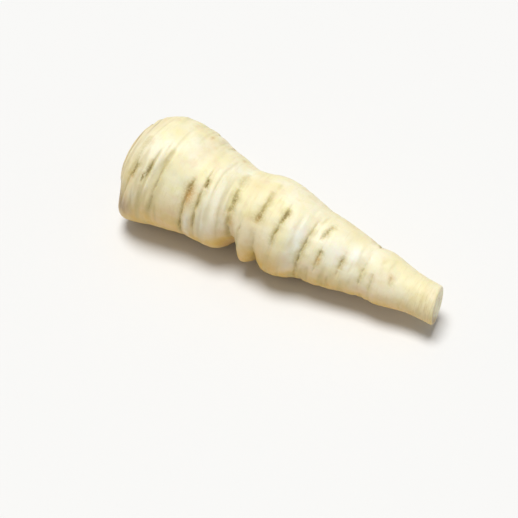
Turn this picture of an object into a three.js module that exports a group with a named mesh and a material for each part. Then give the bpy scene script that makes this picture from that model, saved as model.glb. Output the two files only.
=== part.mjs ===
// A parsnip root, its leaves trimmed off at the crown and its tail cut off, lying on its side.
// Units are millimetres and +Z is up. The root runs along X, with the crown at -X and the cut tip at +X.
// The origin is the centre of its footprint, on the surface that it lies on.
//
// A point of the skin is given by how far along the root it is and by its angle round the root:
// 0 degrees is the top, 90 the front (-Y), 180 the underside and 270 the back (+Y).
import * as THREE from "three";

// ---- Driving dimensions --------------------------------------------------------------------------

const CUT_AT = 190.3; // from the crown's shoulder to the cut tip
const PITCH = 4.6; // degrees that the root's axis dips towards the tip as it lies
const FLAT_DEPTH = 0.7; // how far the skin is pressed flat where the root rests
const COLUMNS = 44; // facets round the root
const CROWN_STEP = 1.9; // distance between rings of facets over the crown
const LEAST_GAP = 0.95; // and along the body
const MOST_GAP = 2.9;
const CUT_RINGS = [0.72, 0.36]; // rings of the cut face, as shares of its radius
const CUT_LEAN = 1.9; // the cut isn't square: how much longer the root is on the side at CUT_SIDE
const CUT_SIDE = 120;
const CUT_REACH = 14; // and how far back along the skin that is felt

// The outline from the middle of the crown, over the shoulder and along the root: [along, radius].
const OUTLINE = [
  // trimmed leaf stub, the sunken ring round it and the shoulder
  [5.2, 0], [5.0, 3.2], [4.7, 5.8], [5.8, 7.8], [8.0, 9.3], [7.4, 11.2], [4.0, 13.4],
  [0.8, 15.6], [0, 17.8], [1.3, 21.2], [4.0, 25.0], [8.0, 28.6], [13, 31.0],
  // the body, its waist and its belly, and the taper to the tip
  [20, 32.0], [29, 30.8], [41, 28.3], [49, 27.6], [58, 26.7], [65, 25.1], [71, 24.1], [77, 24.6],
  [83, 25.2], [90, 25.3], [96, 25.2], [102, 24.6], [107, 23.4], [112, 22.0], [118, 20.7], [125, 19.6],
  [132, 18.1], [139, 16.5], [148, 15.2], [159, 14.1], [169, 12.2], [178, 10.9], [CUT_AT, 10.6],
];

// How the axis wanders: [along, up, towards the front].
const AXIS = [
  [0, 1.9, -2.3], [30, 2.3, -2.9], [57, 1.2, -1.5], [84, 1.7, -2.1], [104, 1.0, -1.2], [118, 1.5, -1.9],
  [134, 1.1, -1.3], [150, 1.6, -2.0], [168, 1.3, -1.6], [CUT_AT, 0.9, -1.1],
];

// How far the rings of the skin slant: [along, slant]. A slanted ring reaches towards the tip on the
// side at SLANT_SIDE and towards the crown on the side across from it.
const SLANT_SIDE = 165;
const SLANT = [
  [0, -0.8], [9, -3.6], [16, -2.9], [26, -1.9], [43, -1.5], [50, -0.6], [59, 1.2], [70, 2.4], [78, 1.4],
  [86, 0], [97, -1.6], [113, -1.4], [135, -0.9], [148, 0], [CUT_AT, 0],
];

// Creases across the skin: where, from which angle to which, how deep the slit is, how deep the fold
// of flesh round it is, and how far it leans along the root.
const crease = (along, from, to, slit, fold, lean = 0) => ({ along, from, to, slit, fold, lean });
const CREASES = [
  crease(4.8, 20, 62, 0.4, 0.1),
  crease(10.2, 52, 86, 0.4, 0.1),
  crease(20.3, 24, 62, 0.7, 0.2, -1.0),
  crease(27.5, 14, 108, 0.8, 0.3, -1.0),
  crease(45.0, 22, 150, 1.3, 0.9),
  crease(52.6, 8, 112, 1.4, 0.6),
  crease(71.2, -18, 176, 1.4, 1.4),
  crease(78.4, 44, 118, 0.7, 0.5, -3.4),
  crease(87.4, -2, 54, 1.0, 0.5),
  crease(89.2, 60, 186, 1.2, 2.0, 1.6),
  crease(98.7, 4, 78, 1.3, 0.6),
  crease(114.6, -6, 160, 1.3, 1.2, -1.6),
  crease(122.3, -12, 32, 0.9, 0.2, -2.8),
  crease(124.4, 36, 86, 0.9, 0.4),
  crease(136.6, 24, 84, 0.9, 0.3),
  crease(148.9, 12, 98, 0.8, 0.3),
  crease(155.1, 36, 90, 0.5, 0.1, 0.8),
  crease(164.4, 20, 60, 0.5, 0.1, 1.6),
  crease(173.0, 70, 120, 0.5, 0.1),
];

// Creases on the sides that face away, spread by steps of the golden ratio.
const FAR_CREASES = 20;
const FAR_FROM = 14;
const FAR_TO = 178;
const GOLDEN = [0.618034, 0.754878, 0.56984, 0.819173];

// Broad dents and swellings of the flesh: [along, angle, half length, half angle, height].
const SWELLS = [
  [71.2, 136, 5.4, 54, -6.0], // the deep waist on the underside
  [74.2, 138, 2.6, 46, -4.0],
  [80.2, 134, 3.2, 34, 2.2], // a knob just past it
  [88.8, 142, 2.4, 44, -3.8], // and the notch that ends the knob
  [98.0, 140, 9.0, 48, 0.9], // the belly
  [34.0, 320, 16, 50, 0.6],
  [60.0, 250, 12, 46, -1.4],
  [30.0, 235, 14, 40, 1.2],
  [90.0, 300, 12, 50, 0.8],
  [128.0, 230, 14, 60, -0.9],
  [9.0, 136, 8, 36, 5.4], // lobes of the crown's shoulder, and the slopes between them
  [12.0, 265, 10, 30, 1.2],
  [8.0, 318, 12, 42, -0.6],
  [3.0, 310, 10, 23, 2.0],
  [3.0, 107, 8, 29, -2.1],
];

const SLIT_WIDTH = 1.1; // half width of a slit
const FOLD_WIDTH = 4.6; // half width of the fold of flesh round it

// Low waves of the flesh: [height, length along the root, how far they shift round it, turned by, begun at].
const WAVES = [[0.34, 7.3, 1.9, 1, 0], [0.22, 3.9, 2.6, -2.2, 1]];
const OVAL = 0.35; // how far the section is from round
const OVAL_TWIST = 19; // and the length over which its long side turns by half a radian
const WAVES_FROM = 4; // the waves and the oval set in over this stretch of the shoulder
const WAVES_TO = 24;

// Rings left on the crown by old leaves: [radius, height of the ridge].
const LEAF_SCARS = [[11.6, 0.5], [14.2, 0.6], [17.2, 0.5], [20.4, 0.4]];
const SCAR_WIDTH = 0.8;
const SCAR_WAVES = [[0.5, 3, 1], [0.3, 5, 0]]; // how the rings waver: [height, times round, begun at]

const SHOULDER_RADIUS = 30; // the crown's rings of facets reach out to this radius
const STUB_RADIUS = 8; // the relief of the body fades out between these radii
const SKIN_RADIUS = 16;
const CROWN_FROM = 4; // the leaf scars fade out over this stretch of the shoulder
const CROWN_TO = 9;
const CUT_EVEN = 8; // over this length before the cut the relief no longer shifts the skin along the root

// ---- Small helpers -------------------------------------------------------------------------------

const radians = THREE.MathUtils.degToRad;
const smooth = THREE.MathUtils.smoothstep;
const bell = (x) => Math.exp(-x * x);
const notch = (x) => Math.max(0, 1 - Math.abs(x)) ** 1.3;
const share = (i, step) => (i * step) % 1;

// The shorter way round from angle b to angle a, in degrees.
function turn(a, b) {
  return THREE.MathUtils.euclideanModulo(a - b + 180, 360) - 180;
}

// Points along a smooth line through [x, y] pairs.
function smoothLine(pairs, count) {
  const curve = new THREE.SplineCurve(pairs.map(([x, y]) => new THREE.Vector2(x, y)));
  return curve.getPoints(count);
}

// The height at x of a line of points that runs in steps of x.
function follow(points, x) {
  let i = 1;
  while (i < points.length - 1 && points[i].x < x) i++;
  const [a, b] = [points[i - 1], points[i]];
  return a.y + ((b.y - a.y) * (x - a.x)) / (b.x - a.x);
}

// ---- The root's form -----------------------------------------------------------------------------

const axisUp = smoothLine(AXIS.map(([x, up]) => [x, up]), 240);
const axisFront = smoothLine(AXIS.map(([x, , front]) => [x, front]), 240);
const slantLine = smoothLine(SLANT, 240);

function farCreases() {
  const made = [];
  for (let i = 0; i < FAR_CREASES; i++) {
    const [a, b, c, d] = GOLDEN.map((step) => share(i + 1, step));
    const along = FAR_FROM + (FAR_TO - FAR_FROM) * ((i + 0.3 + 0.4 * a) / FAR_CREASES);
    const middle = 165 + 165 * b;
    const half = 14 + 34 * c;
    made.push(crease(along, middle - half, middle + half, 0.5 + 0.8 * c, 0.2 + 0.6 * d, 2 * (d - 0.5)));
  }
  return made;
}

const ALL_CREASES = [...CREASES, ...farCreases()];

// How far the skin stands in (-) or out (+) from the plain outline.
function relief(along, angle) {
  let height = 0;
  for (const c of ALL_CREASES) {
    const t = turn(angle, (c.from + c.to) / 2) / ((c.to - c.from) / 2);
    if (Math.abs(t) >= 1) continue;
    const reach = (1 - t * t) ** 0.8;
    const off = along - c.along - (t * c.lean) / 2;
    height -= reach * (c.slit * notch(off / SLIT_WIDTH) + c.fold * bell(off / FOLD_WIDTH));
  }
  for (const [at, middle, half, spread, rise] of SWELLS) {
    height += rise * bell((along - at) / half) * bell(turn(angle, middle) / spread);
  }
  const a = radians(angle);
  let waves = OVAL * Math.cos(2 * a + along / OVAL_TWIST);
  for (const [rise, length, shift, turned, begun] of WAVES) {
    waves += rise * Math.sin(along / length + shift * Math.cos(a + turned) + begun);
  }
  return height + waves * smooth(along, WAVES_FROM, WAVES_TO);
}

// Ridges of the leaf scars on the crown.
function scars(radius, angle) {
  const a = radians(angle);
  const wave = SCAR_WAVES.reduce((sum, [rise, times, begun]) => sum + rise * Math.sin(times * a + begun), 0);
  return LEAF_SCARS.reduce((sum, [r, rise]) => sum + rise * bell((radius - r - wave) / SCAR_WIDTH), 0);
}

// A point of the solid before it is set down.
function place(along, radius, angle) {
  const a = radians(angle);
  const slant = follow(slantLine, Math.max(along, 0)) * Math.cos(radians(angle - SLANT_SIDE));
  const cut = CUT_LEAN * smooth(along, CUT_AT - CUT_REACH, CUT_AT) * Math.cos(radians(angle - CUT_SIDE));
  return new THREE.Vector3(
    along + slant + (radius > 0 ? cut : 0),
    -follow(axisFront, along) - radius * Math.sin(a),
    follow(axisUp, along) + radius * Math.cos(a),
  );
}

// The outline as a dense line, with how far each of its points is from the crown's middle.
function measuredOutline() {
  const line = smoothLine(OUTLINE, 1200);
  const gone = [0];
  for (let i = 1; i < line.length; i++) gone.push(gone[i - 1] + line[i].distanceTo(line[i - 1]));
  const shoulder = line.findIndex((p) => p.y > SHOULDER_RADIUS);
  return { line, gone, shoulder };
}

// Where rings of facets go: evenly over the crown, then at the edges and bottom of every crease,
// with more between them wherever they are far apart.
function ringStops({ line, gone, shoulder }) {
  const end = gone[gone.length - 1];
  const bodyFrom = gone[shoulder];
  const crownCount = Math.round(bodyFrom / CROWN_STEP);
  const crown = Array.from({ length: crownCount }, (_, k) => (bodyFrom * (k + 1)) / crownCount);
  const marks = [];
  for (const c of ALL_CREASES) {
    for (const side of [-1, 0, 1]) {
      const at = line.findIndex((p, i) => i > shoulder && p.x >= c.along + side * SLIT_WIDTH);
      if (at > 0) marks.push(gone[at]);
    }
  }
  marks.sort((p, q) => p - q);
  const stops = crown;
  for (const mark of [...marks.filter((m) => m < end - LEAST_GAP), end]) {
    const last = stops[stops.length - 1];
    if (mark - last < LEAST_GAP) continue;
    const pieces = Math.ceil((mark - last) / MOST_GAP);
    for (let k = 1; k <= pieces; k++) stops.push(last + ((mark - last) * k) / pieces);
  }
  return stops;
}

// The rings themselves: where each is, its radius and which way the skin faces there.
function skinRings() {
  const outline = measuredOutline();
  const { line, gone } = outline;
  let i = 1;
  return ringStops(outline).map((want) => {
    while (i < line.length - 1 && gone[i] < want) i++;
    const t = (want - gone[i - 1]) / (gone[i] - gone[i - 1]);
    const at = line[i - 1].clone().lerp(line[i], t);
    const step = line[i].clone().sub(line[i - 1]).normalize();
    return { along: at.x, radius: at.y, out: new THREE.Vector2(-step.y, step.x) };
  });
}

// ---- Building the solid --------------------------------------------------------------------------

// Points of one ring, moved in or out along the skin's facing direction by the relief.
function ringPoints(ring) {
  const points = [];
  const skin = smooth(ring.radius, STUB_RADIUS, SKIN_RADIUS);
  const crown = 1 - smooth(ring.along, CROWN_FROM, CROWN_TO);
  const slide = 1 - smooth(ring.along, CUT_AT - CUT_EVEN, CUT_AT);
  for (let j = 0; j < COLUMNS; j++) {
    const angle = (360 * j) / COLUMNS;
    const rise = relief(ring.along, angle) * skin + scars(ring.radius, angle) * crown;
    points.push(place(ring.along + rise * ring.out.x * slide, ring.radius + rise * ring.out.y, angle));
  }
  return points;
}

function rootGeometry() {
  const loops = skinRings().map(ringPoints);
  const edge = loops[loops.length - 1];
  const middle = place(CUT_AT, 0, 0);
  for (const part of CUT_RINGS) loops.push(edge.map((p) => middle.clone().lerp(p, part)));
  const points = [place(OUTLINE[0][0], 0, 0), ...loops.flat(), middle];

  const faces = [];
  const at = (loop, j) => 1 + loop * COLUMNS + (j % COLUMNS);
  for (let j = 0; j < COLUMNS; j++) {
    faces.push(0, at(0, j + 1), at(0, j));
    for (let loop = 0; loop < loops.length - 1; loop++) {
      faces.push(at(loop, j), at(loop + 1, j + 1), at(loop + 1, j));
      faces.push(at(loop, j), at(loop, j + 1), at(loop + 1, j + 1));
    }
    faces.push(at(loops.length - 1, j), at(loops.length - 1, j + 1), points.length - 1);
  }
  const geometry = new THREE.BufferGeometry().setFromPoints(points);
  geometry.setIndex(faces);
  return geometry;
}

// Tips the root to how it lies, lowers it and presses the skin flat where it rests.
function setDown(geometry) {
  geometry.rotateY(radians(PITCH));
  geometry.computeBoundingBox();
  const box = geometry.boundingBox;
  const middle = box.getCenter(new THREE.Vector3());
  geometry.translate(-middle.x, -middle.y, -box.min.z - FLAT_DEPTH);
  const position = geometry.getAttribute("position");
  for (let i = 0; i < position.count; i++) {
    if (position.getZ(i) < 0) position.setZ(i, 0);
  }
  geometry.computeVertexNormals();
  return geometry;
}

const skin = new THREE.MeshStandardMaterial({ color: 0xe9dcb4, roughness: 0.55, metalness: 0 });
const parsnip = new THREE.Mesh(setDown(rootGeometry()), skin);
parsnip.name = "parsnip";

const model = new THREE.Group();
model.add(parsnip);
export default model;
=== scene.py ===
"""Looks for a parsnip root that lies on its side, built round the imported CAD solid.

The skin is one fine mesh. It follows the same outline, axis, slant, creases and swellings as the
CAD source, in millimetres, and adds what is too small for that: thin cracks, small wrinkles, a worn
rim and the dried leaf bases of the crown. Mesh attributes carry where those are, and one procedural
material paints the cream flesh, the browned creases, the stained spots, the crown and the cut face.

A point of the skin is given by how far along the root it is and by its angle round the root:
0 degrees is the top, 90 the front (-Y), 180 the underside and 270 the back (+Y).
"""
import math
from types import SimpleNamespace

import bpy
import numpy as np
from mathutils import Matrix, Vector

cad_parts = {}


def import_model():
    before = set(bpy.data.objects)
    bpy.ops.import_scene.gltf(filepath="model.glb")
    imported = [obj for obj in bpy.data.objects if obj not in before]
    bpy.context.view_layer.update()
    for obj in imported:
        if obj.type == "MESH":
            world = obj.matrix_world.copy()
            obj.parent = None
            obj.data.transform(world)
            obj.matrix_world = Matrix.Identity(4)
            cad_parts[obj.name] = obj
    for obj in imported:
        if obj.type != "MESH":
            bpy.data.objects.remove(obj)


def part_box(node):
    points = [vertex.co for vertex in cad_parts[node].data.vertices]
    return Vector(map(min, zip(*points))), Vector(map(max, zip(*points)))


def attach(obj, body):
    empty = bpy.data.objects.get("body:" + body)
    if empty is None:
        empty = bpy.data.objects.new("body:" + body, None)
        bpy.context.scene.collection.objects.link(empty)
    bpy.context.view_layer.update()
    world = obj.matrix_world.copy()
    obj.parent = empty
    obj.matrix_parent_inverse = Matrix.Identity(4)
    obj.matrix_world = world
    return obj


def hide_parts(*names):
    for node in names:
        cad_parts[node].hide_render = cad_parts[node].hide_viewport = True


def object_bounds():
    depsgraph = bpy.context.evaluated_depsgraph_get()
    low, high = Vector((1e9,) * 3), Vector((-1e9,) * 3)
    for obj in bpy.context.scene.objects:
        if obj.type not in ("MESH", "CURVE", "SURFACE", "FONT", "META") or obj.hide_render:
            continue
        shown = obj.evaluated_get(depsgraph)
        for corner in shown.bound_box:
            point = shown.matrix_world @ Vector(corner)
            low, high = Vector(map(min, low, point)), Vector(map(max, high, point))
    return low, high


# ---- The root's form, in millimetres and degrees, as in the CAD source ---------------------------

CUT_AT = 190.3  # from the crown's shoulder to the cut tip
CUT_LEAN = 1.9  # the cut isn't square: how much longer the root is on the side at CUT_SIDE
CUT_SIDE = 120
CUT_REACH = 14  # and how far back along the skin that is felt
CUT_EVEN = 8  # over this length before the cut the relief stops shifting the skin along the root
PITCH = 4.6  # degrees that the root's axis dips towards the tip as it lies
FLAT_DEPTH = 0.7  # how far the skin is pressed flat where the root rests

# The outline from the middle of the crown, over the shoulder and along the root: along, radius.
OUTLINE = [
    (5.2, 0), (5.0, 3.2), (4.7, 5.8), (5.8, 7.8), (8.0, 9.3), (7.4, 11.2), (4.0, 13.4),
    (0.8, 15.6), (0, 17.8), (1.3, 21.2), (4.0, 25.0), (8.0, 28.6), (13, 31.0),
    (20, 32.0), (29, 30.8), (41, 28.3), (49, 27.6), (58, 26.7), (65, 25.1), (71, 24.1), (77, 24.6),
    (83, 25.2), (90, 25.3), (96, 25.2), (102, 24.6), (107, 23.4), (112, 22.0), (118, 20.7), (125, 19.6),
    (132, 18.1), (139, 16.5), (148, 15.2), (159, 14.1), (169, 12.2), (178, 10.9), (CUT_AT, 10.6),
]
SHOULDER_RADIUS = 30  # the body begins where the outline first reaches this radius

# How the axis wanders: along, up, towards the front.
AXIS = [
    (0, 1.9, -2.3), (30, 2.3, -2.9), (57, 1.2, -1.5), (84, 1.7, -2.1), (104, 1.0, -1.2), (118, 1.5, -1.9),
    (134, 1.1, -1.3), (150, 1.6, -2.0), (168, 1.3, -1.6), (CUT_AT, 0.9, -1.1),
]

# How far the rings of the skin slant: along, slant. A slanted ring reaches towards the tip on the
# side at SLANT_SIDE and towards the crown on the side across from it.
SLANT_SIDE = 165
SLANT = [
    (0, -0.8), (9, -3.6), (16, -2.9), (26, -1.9), (43, -1.5), (50, -0.6), (59, 1.2), (70, 2.4), (78, 1.4),
    (86, 0), (97, -1.6), (113, -1.4), (135, -0.9), (148, 0), (CUT_AT, 0),
]

# Creases across the skin: where, from which angle to which, how deep the slit is, how deep the fold
# of flesh round it is, and how far it leans along the root.
CREASES = [
    (4.8, 20, 62, 0.4, 0.1, 0), (10.2, 52, 86, 0.4, 0.1, 0), (20.3, 24, 62, 0.7, 0.2, -1.0),
    (27.5, 14, 108, 0.8, 0.3, -1.0), (45.0, 22, 150, 1.3, 0.9, 0), (52.6, 8, 112, 1.4, 0.6, 0),
    (71.2, -18, 176, 1.4, 1.4, 0), (78.4, 44, 118, 0.7, 0.5, -3.4), (87.4, -2, 54, 1.0, 0.5, 0),
    (89.2, 60, 186, 1.2, 2.0, 1.6), (98.7, 4, 78, 1.3, 0.6, 0), (114.6, -6, 160, 1.3, 1.2, -1.6),
    (122.3, -12, 32, 0.9, 0.2, -2.8), (124.4, 36, 86, 0.9, 0.4, 0), (136.6, 24, 84, 0.9, 0.3, 0),
    (148.9, 12, 98, 0.8, 0.3, 0), (155.1, 36, 90, 0.5, 0.1, 0.8), (164.4, 20, 60, 0.5, 0.1, 1.6),
    (173.0, 70, 120, 0.5, 0.1, 0),
]
SLIT_WIDTH = 1.1  # half width of a slit
SLIT_SHAPE = 1.3  # power of its section: 1 has straight walls
FOLD_WIDTH = 4.6  # half width of the fold of flesh round it
CREASE_TAPER = 0.8  # power by which a crease fades towards its two ends

# Creases on the sides that face away, spread by steps of the golden ratio. Each pair is the least
# value and how much is added to it at most.
FAR_CREASES = 20
FAR_FROM = 14
FAR_TO = 178
GOLDEN = (0.618034, 0.754878, 0.56984, 0.819173)
FAR_STRAY = (0.3, 0.4)  # where each lies in its own stretch of the root, as a share
FAR_MIDDLE = (165, 165)
FAR_HALF = (14, 34)
FAR_SLIT = (0.5, 0.8)
FAR_FOLD = (0.2, 0.6)
FAR_LEAN = (-1, 2)

# Broad dents and swellings of the flesh: along, angle, half length, half angle, height.
SWELLS = [
    (71.2, 136, 5.4, 54, -6.0), (74.2, 138, 2.6, 46, -4.0), (80.2, 134, 3.2, 34, 2.2),
    (88.8, 142, 2.4, 44, -3.8), (98.0, 140, 9.0, 48, 0.9), (34.0, 320, 16, 50, 0.6),
    (60.0, 250, 12, 46, -1.4), (30.0, 235, 14, 40, 1.2), (90.0, 300, 12, 50, 0.8),
    (128.0, 230, 14, 60, -0.9), (9.0, 136, 8, 36, 5.4), (12.0, 265, 10, 30, 1.2), (8.0, 318, 12, 42, -0.6),
    (3.0, 310, 10, 23, 2.0), (3.0, 107, 8, 29, -2.1),
]

# Low waves of the flesh: height, length along the root, how far they shift round it, turned by, begun at.
WAVES = [(0.34, 7.3, 1.9, 1, 0), (0.22, 3.9, 2.6, -2.2, 1)]
OVAL = 0.35  # how far the section is from round
OVAL_TWIST = 19  # and the length over which its long side turns by half a radian
WAVES_REACH = (4, 24)  # the waves and the oval set in over this stretch of the shoulder

# Rings left on the crown by old leaves: radius, height of the ridge.
LEAF_SCARS = [(11.6, 0.5), (14.2, 0.6), (17.2, 0.5), (20.4, 0.4)]
SCAR_WIDTH = 0.8
SCAR_WAVES = [(0.5, 3, 1), (0.3, 5, 0)]  # how the rings waver: height, times round, begun at
SCARS_FADE = (4, 9)  # the leaf scars fade out over this stretch of the shoulder
SKIN_RADII = (8, 16)  # and the relief of the body sets in between these radii

# ---- Rings of the mesh, in millimetres -----------------------------------------------------------

PER_METRE = 1000
COLUMNS = 180  # points round the root
OUTLINE_POINTS = 1200  # steps of the smooth outline, and of the axis and the slant
AXIS_POINTS = 240
STUB_STEP = 0.36  # distance between rings over the leaf stub, which ends at STUB_REACH
STUB_REACH = 9
CROWN_STEP = 0.46  # and over the rest of the crown
BODY_STEP = 0.62  # most distance between rings along the body
CREASE_STEP = 0.3  # distance between rings across a crease, out to CREASE_REACH on either side
CREASE_REACH = 1.3
LEAST_GAP = 0.18  # a ring that is closer than this to the last one is left out
LEAST_RIM_GAP = 0.02  # and so is one on the worn rim of the cut
RIM_CLEAR = 1.56  # creases bring no rings this close to the cut
RIM_RINGS = (1.0, 0.72, 0.48, 0.28, 0.13, 0.04, 0)  # rings of the worn rim, as shares of RIM_ROUND
CUT_RINGS = 16

# ---- Relief that is too small for the CAD source -------------------------------------------------

# Small waves round a crease or a mark: size, degrees that a radian of the wave takes, and how far it
# is begun for each millimetre along the root, in radians.
CREASE_WAVER = [(0.16, 3.7, 5), (0.096, 1.7, 9)]
SLIT_DEEP = 0.62  # mean share of its depth that a slit has; the product of two waves varies it
SLIT_WAVES = [(0.38, 8.3, 4), (1, 3.1, 2)]
MARK_WAVER = [(0.3, 5.1, 5), (0.14, 2.7, 9)]
MARK_SWELL = 0.75  # mean share of its width that a mark has; one wave varies it
MARK_WAVE = (0.25, 3.3, 7)

CRACK_WIDTH = 0.42  # half width of the crack at the bottom of a slit
CRACK_DEPTH = 0.24
CRACK_TAPER = 1.6
CRACK_OPENS = (0.45, 0.95)  # it opens where the slit has this share of its depth
CREASE_TINT_WIDTH = 1.65  # half width of the band of browning and painted shade that a crease has
MARK_DEPTH = 0.3  # how far a browned mark is sunk
MARK_WIDENING = 2.1  # how much wider the soft edge makes it
MARK_TAPER = 0.5

# Where small ridges and furrows lie: along from and to, angle from and to, how many, their heights.
WRINKLE_ZONES = [
    (5, 186, 0, 360, 340, (-0.3, 0.2)), (2, 30, 30, 110, 60, (-0.5, 0.25)),
    (50, 74, 30, 100, 30, (-0.36, 0.3)), (4, 60, 180, 330, 90, (-0.4, 0.2)),
    (104, 150, 30, 110, 30, (-0.35, 0.2)), (172, 187, 0, 360, 44, (-0.24, 0.12)),
    (112, 168, 92, 150, 44, (-0.55, 0.3)), (84, 112, 96, 150, 22, (-0.5, 0.3)),
]
WRINKLE_SEED = 7
WRINKLE_HALF = (8, 38)  # half angle
WRINKLE_WIDTH = (0.6, 1.7)
WRINKLE_LEAN = 1.0  # standard deviation of how far it leans
WRINKLE_REACH = 3  # widths from its middle at which a wrinkle has died away
FURROW_FULL = 0.4  # depth at which a furrow has its full browning and painted shade

# Broken arcs of dried leaf bases round the crown: the ridges are up, the cracks between them down.
CROWN_LINES = 110
CROWN_SEED = 11
LINE_RADIUS = (9.5, 28)
LINE_HALF = (12, 55)  # half angle
LINE_WIDTH = (0.3, 0.7)
LINE_DRIFT = 1.0  # standard deviation of how far it drifts in or out
LINE_RISE = (-0.75, 0.35)
LINE_CRACK_FULL = 0.35  # depth at which a crack has its full tint
LINES_SET_IN = (8.5, 10.5)  # radii
CROWN_ENDS = (14, 4)  # distances before the shoulder where the crown's lines give way to wrinkles

# Trimmed leaf bases nested on the crown's middle, each a golden angle on from the last.
LEAF_COUNT = 10
LEAF_FROM = 0.9  # radius of the first
LEAF_APART = 0.64
LEAF_TURN = 137.5
LEAF_HALF = 105  # half angle of the first, and how much less each next one has
LEAF_SHRINK = 4
LEAF_TAPER = 0.7
LEAF_RIM = 0.46  # half width of a rim
LEAF_WAVE = (0.22, 3, 70)  # how a rim wavers: height, times round, degrees on for each leaf
LEAF_CURL = 0.5  # how far in the ends of a rim curl
LEAF_GAP_AT = 0.736  # where the gap beside a rim is, and its half width
LEAF_GAP_WIDTH = 0.368
LEAF_RISE = 0.55
LEAF_GAP_DEPTH = 0.5
STUB_EDGE = (7.6, 9.2)  # the stub ends over these distances from the crown's middle

# The cut face: a worn rim, a sunken middle, a ridge round the core and fine spokes.
RIM_ROUND = 1.3
DISH = 0.9
CORE_SHARE = 0.45
CORE_WAVES = [(0.05, 3, 1), (0.03, 7, 0)]  # how its ridge wavers: share, times round, begun at
CORE_RISE = 0.3
CORE_WIDTH = 0.09
SPOKES = 19
SPOKE_RISE = 0.09
SPOKE_SWAY = (2, 3)  # how the spokes sway: radians, times round

# ---- Where the skin has which colour -------------------------------------------------------------

# Where the creases are browned: along, from, to, half width, strength, lean.
MARKS = [
    (9.2, 12, 56, 1.0, 0.5, 1.6), (10.9, 44, 64, 1.3, 1.1, 0), (19.7, 37, 60, 1.1, 0.8, -0.6),
    (18.6, 50, 64, 0.9, 0.9, 0), (19.6, 60, 96, 0.5, 0.35, 2.2), (27.4, 30, 56, 0.8, 0.4, -0.4),
    (27.2, 52, 70, 0.7, 0.35, 0.4), (27.0, 70, 96, 0.7, 0.4, -1.0), (44.9, 33, 64, 1.5, 0.95, 0),
    (44.8, 60, 78, 0.8, 0.45, 0), (44.6, 76, 118, 0.7, 0.75, -0.4), (53.2, 24, 38, 1.0, 1.25, 0.3),
    (52.3, 38, 68, 1.3, 0.5, -0.6), (52.2, 66, 86, 0.9, 0.2, 0), (71.6, 16, 54, 1.1, 0.85, 0),
    (70.9, -14, 16, 0.8, 0.4, 0.6), (71.4, 54, 70, 1.0, 0.2, 0), (70.8, 82, 104, 0.9, 0.45, 0),
    (78.8, 58, 104, 0.7, 0.3, -2.4), (87.4, 2, 36, 0.9, 0.5, 0), (87.2, 27, 50, 1.4, 0.85, 0),
    (88.9, 84, 134, 0.7, 0.35, 0.8), (99.0, 12, 36, 1.1, 0.95, 0.3), (98.2, 36, 66, 1.0, 0.6, 0.2),
    (115.0, 18, 84, 1.2, 0.6, -0.6), (113.6, 104, 140, 0.7, 0.5, 0), (122.4, -4, 31, 0.9, 0.7, -2.6),
    (124.6, 42, 51, 1.0, 0.8, 0), (124.6, 50, 74, 0.9, 0.4, 0), (136.6, 33, 62, 1.0, 0.65, 0),
    (148.9, 40, 76, 0.8, 0.35, 0), (155.0, 42, 84, 0.7, 0.3, 1.0), (164.4, 28, 52, 0.7, 0.3, 1.4),
]

# Every far crease has a mark as well. Its place and its half angle are shares of the crease's angle.
FAR_MARK_OFF = 0.3  # how far off the crease's middle it is at most
FAR_MARK_TURN = 2.4  # radians that the sine of its place goes on by from crease to crease
FAR_MARK_HALF = (0.14, 0.16)  # the least, and how much is added at most
FAR_MARK_WIDTH = 1.0
FAR_MARK_STRENGTH = (0.3, 0.45)  # what every mark has, and what a slit 1 mm deep adds
FAR_MARK_LEAN = 0.4  # as a share of the crease's lean

# Soft-edged areas with a tint of their own: along, angle, half length, half angle, strength.
AREAS = {
    # stained spots, most of them by a crease
    "stain": [
        (46.4, 55, 3.0, 13, 1.0), (11.0, 66, 1.8, 10, 0.4), (73.2, 66, 1.6, 9, 0.7),
        (87.0, 44, 1.3, 6, 0.5), (124.9, 60, 1.4, 8, 0.9), (37.8, -24, 1.0, 4, 0.8),
        (50.4, -42, 1.2, 4, 0.9), (62.0, -32, 1.1, 4, 0.8), (71.0, -46, 1.4, 6, 0.7),
        (164.0, 30, 1.8, 8, 0.6),
    ],
    # more ochre than the flesh round them
    "ochre": [
        (76.5, 66, 5, 26, 0.5), (71.5, 66, 2.5, 14, 0.8), (87.0, 62, 9, 24, 0.7), (162.0, 48, 8, 26, 0.4),
        (186, 60, 10, 60, 0.3), (8.0, 60, 8, 34, 0.3), (42.0, -4, 5, 22, 0.55), (79.0, 2, 5, 20, 0.5),
        (186, 18, 6, 24, 0.4), (94.5, 74, 5, 14, 0.8), (108, 82, 4, 12, 0.5),
    ],
    # paler than the flesh round them: partly the flesh's own paler patches and partly painted light that
    # lifts the shade beside the creases' folds
    "pale": [
        (132.0, 34, 9, 26, 0.8), (142.5, 24, 8, 22, 1.0), (110.2, 44, 4, 40, 0.9), (60.0, 26, 8, 22, 0.15),
        (109.0, 10, 5, 20, 0.4), (57.5, 74, 5, 26, 0.6), (143.0, 54, 6, 30, 0.6), (23.5, 40, 3, 20, 0.5),
        (48.6, 92, 2.2, 20, 0.8), (16.2, 82, 2.6, 10, 0.6),
    ],
    # painted shade: the back, a little darker and more tan
    "back": [(15, 310, 24, 34, 0.7), (75, 300, 34, 36, 0.6), (130, 310, 42, 42, 1.0)],
    # painted shade: the crown's shoulder low on the front, darker where it turns under
    "crown_low_shade": [(9, 103, 6.5, 14, 1.0), (4, 120, 9, 30, 0.6)],
    # painted shade: a darker, yellower band along the line where the root turns under
    "lower_edge_shade": [(100, 116, 75, 17, 0.55), (94, 106, 12, 22, 1.0)],
}

# The underside has painted shade, darker and warmer than the flesh: the middle of it, the cosines over
# which that sets in, the share of it that the crown's shoulder has, and the stretch over which it grows to
# the whole.
UNDERSIDE = 165
UNDER_EDGE = (-0.5, 0.8)
UNDER_AT_CROWN = 0.5
UNDER_GROWS = (3, 18)

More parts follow.
